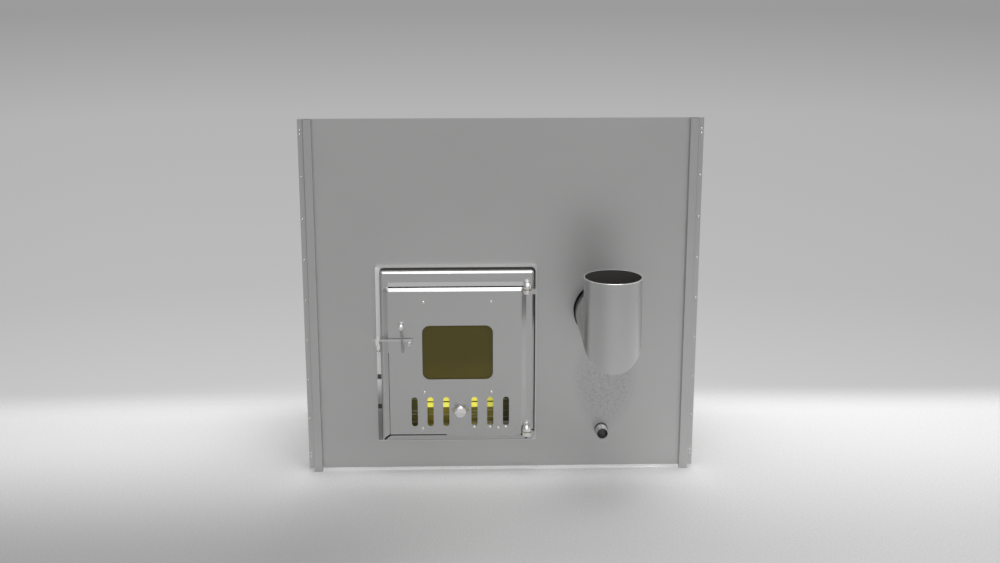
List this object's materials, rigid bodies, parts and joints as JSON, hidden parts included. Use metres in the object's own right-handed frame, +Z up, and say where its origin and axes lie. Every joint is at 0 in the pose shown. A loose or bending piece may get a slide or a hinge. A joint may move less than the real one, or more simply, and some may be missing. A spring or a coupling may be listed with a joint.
{
  "type": "hot tub stove",
  "caption": "Wood-fired hot tub stove: a stainless front panel with a glazed hinged door, air slide, lift latch and mitred flue, and a water-jacketed firebox behind it.",
  "frame": {"origin": "on the ground, below the middle of the outline seen from above", "axes": "+X to the right seen from the front, along the panel's width; +Y from the door towards the rear; +Z up"},
  "size_m": [0.86, 0.807, 0.792],
  "materials": {
    "panel_steel": "satin, fine brushed stainless",
    "door_steel": "satin stainless, soft grain",
    "frame_steel": "satin stainless with bright edges",
    "polished_steel": "polished stainless",
    "fastener_steel": "bright stainless fasteners",
    "flue_steel": "satin stainless tube",
    "jacket_steel": "mill finish stainless plate",
    "hot_steel": "heat darkened stainless",
    "yellow_zinc": "yellow passivated zinc",
    "amber_glass": "heat proof amber glass ceramic",
    "seal_rope": "woven glass fibre",
    "grate_iron": "raw cast iron",
    "washer_brass": "plain brass"
  },
  "bodies": {
    "stove": {"front_panel": "panel_steel", "side_post_left": "panel_steel", "side_post_right": "panel_steel", "latch_keeper": "door_steel", "door_frame": "frame_steel", "hinge_frame_lower": "frame_steel", "hinge_frame_upper": "frame_steel", "strike_bar": "polished_steel", "rivets_left": "fastener_steel", "rivets_right": "fastener_steel", "keeper_screws": "fastener_steel", "hinge_pins": "fastener_steel", "flue_riser": "flue_steel", "flue_stub": "flue_steel", "drain_nipple": "flue_steel", "jacket_front": "jacket_steel", "jacket_rear": "jacket_steel", "jacket_left": "jacket_steel", "jacket_right": "jacket_steel", "jacket_top": "jacket_steel", "jacket_bottom": "jacket_steel", "water_inlet": "jacket_steel", "water_outlet": "jacket_steel", "panel_bracket_left": "jacket_steel", "panel_bracket_right": "jacket_steel", "legs": "jacket_steel", "door_neck": "hot_steel", "firebox_left": "hot_steel", "firebox_right": "hot_steel", "firebox_floor": "hot_steel", "firebox_top": "hot_steel", "firebox_rear": "hot_steel", "smoke_partition": "hot_steel", "baffle": "hot_steel", "grate_stands": "hot_steel", "ash_tray": "hot_steel", "grate": "grate_iron", "hinge_washers": "washer_brass"},
    "door": {"door_skin": "door_steel", "door_liner": "hot_steel", "door_seal": "seal_rope", "window_glass": "amber_glass", "glass_gasket": "seal_rope", "glass_retainer_upper": "yellow_zinc", "glass_retainer_lower": "yellow_zinc", "door_screws": "fastener_steel", "guide_sleeves": "fastener_steel", "screw_nuts": "fastener_steel", "slide_support": "hot_steel", "latch_bolt": "fastener_steel", "latch_spacer": "fastener_steel", "hinge_door_lower": "frame_steel", "hinge_door_upper": "frame_steel"},
    "latch": {"latch_lever": "door_steel", "latch_handle": "door_steel", "latch_ball": "polished_steel"},
    "air_slide": {"air_plate": "hot_steel", "air_knob": "polished_steel", "knob_screw": "fastener_steel"}
  },
  "joints": [
    {"name": "door_swing", "type": "hinge", "parent": "stove", "child": "door", "pos_m": [0.055, -0.1835, 0.256], "axis": [0, 0, 1], "range_deg": [0, 110]},
    {"name": "latch_lift", "type": "hinge", "parent": "door", "child": "latch", "pos_m": [-0.20075, -0.1825, 0.3085], "axis": [0, 1, 0], "range_deg": [0, 60]},
    {"name": "air_slide", "type": "slide", "parent": "door", "child": "air_slide", "axis": [1, 0, 0], "range_m": [-0.013, 0.013]}
  ]
}
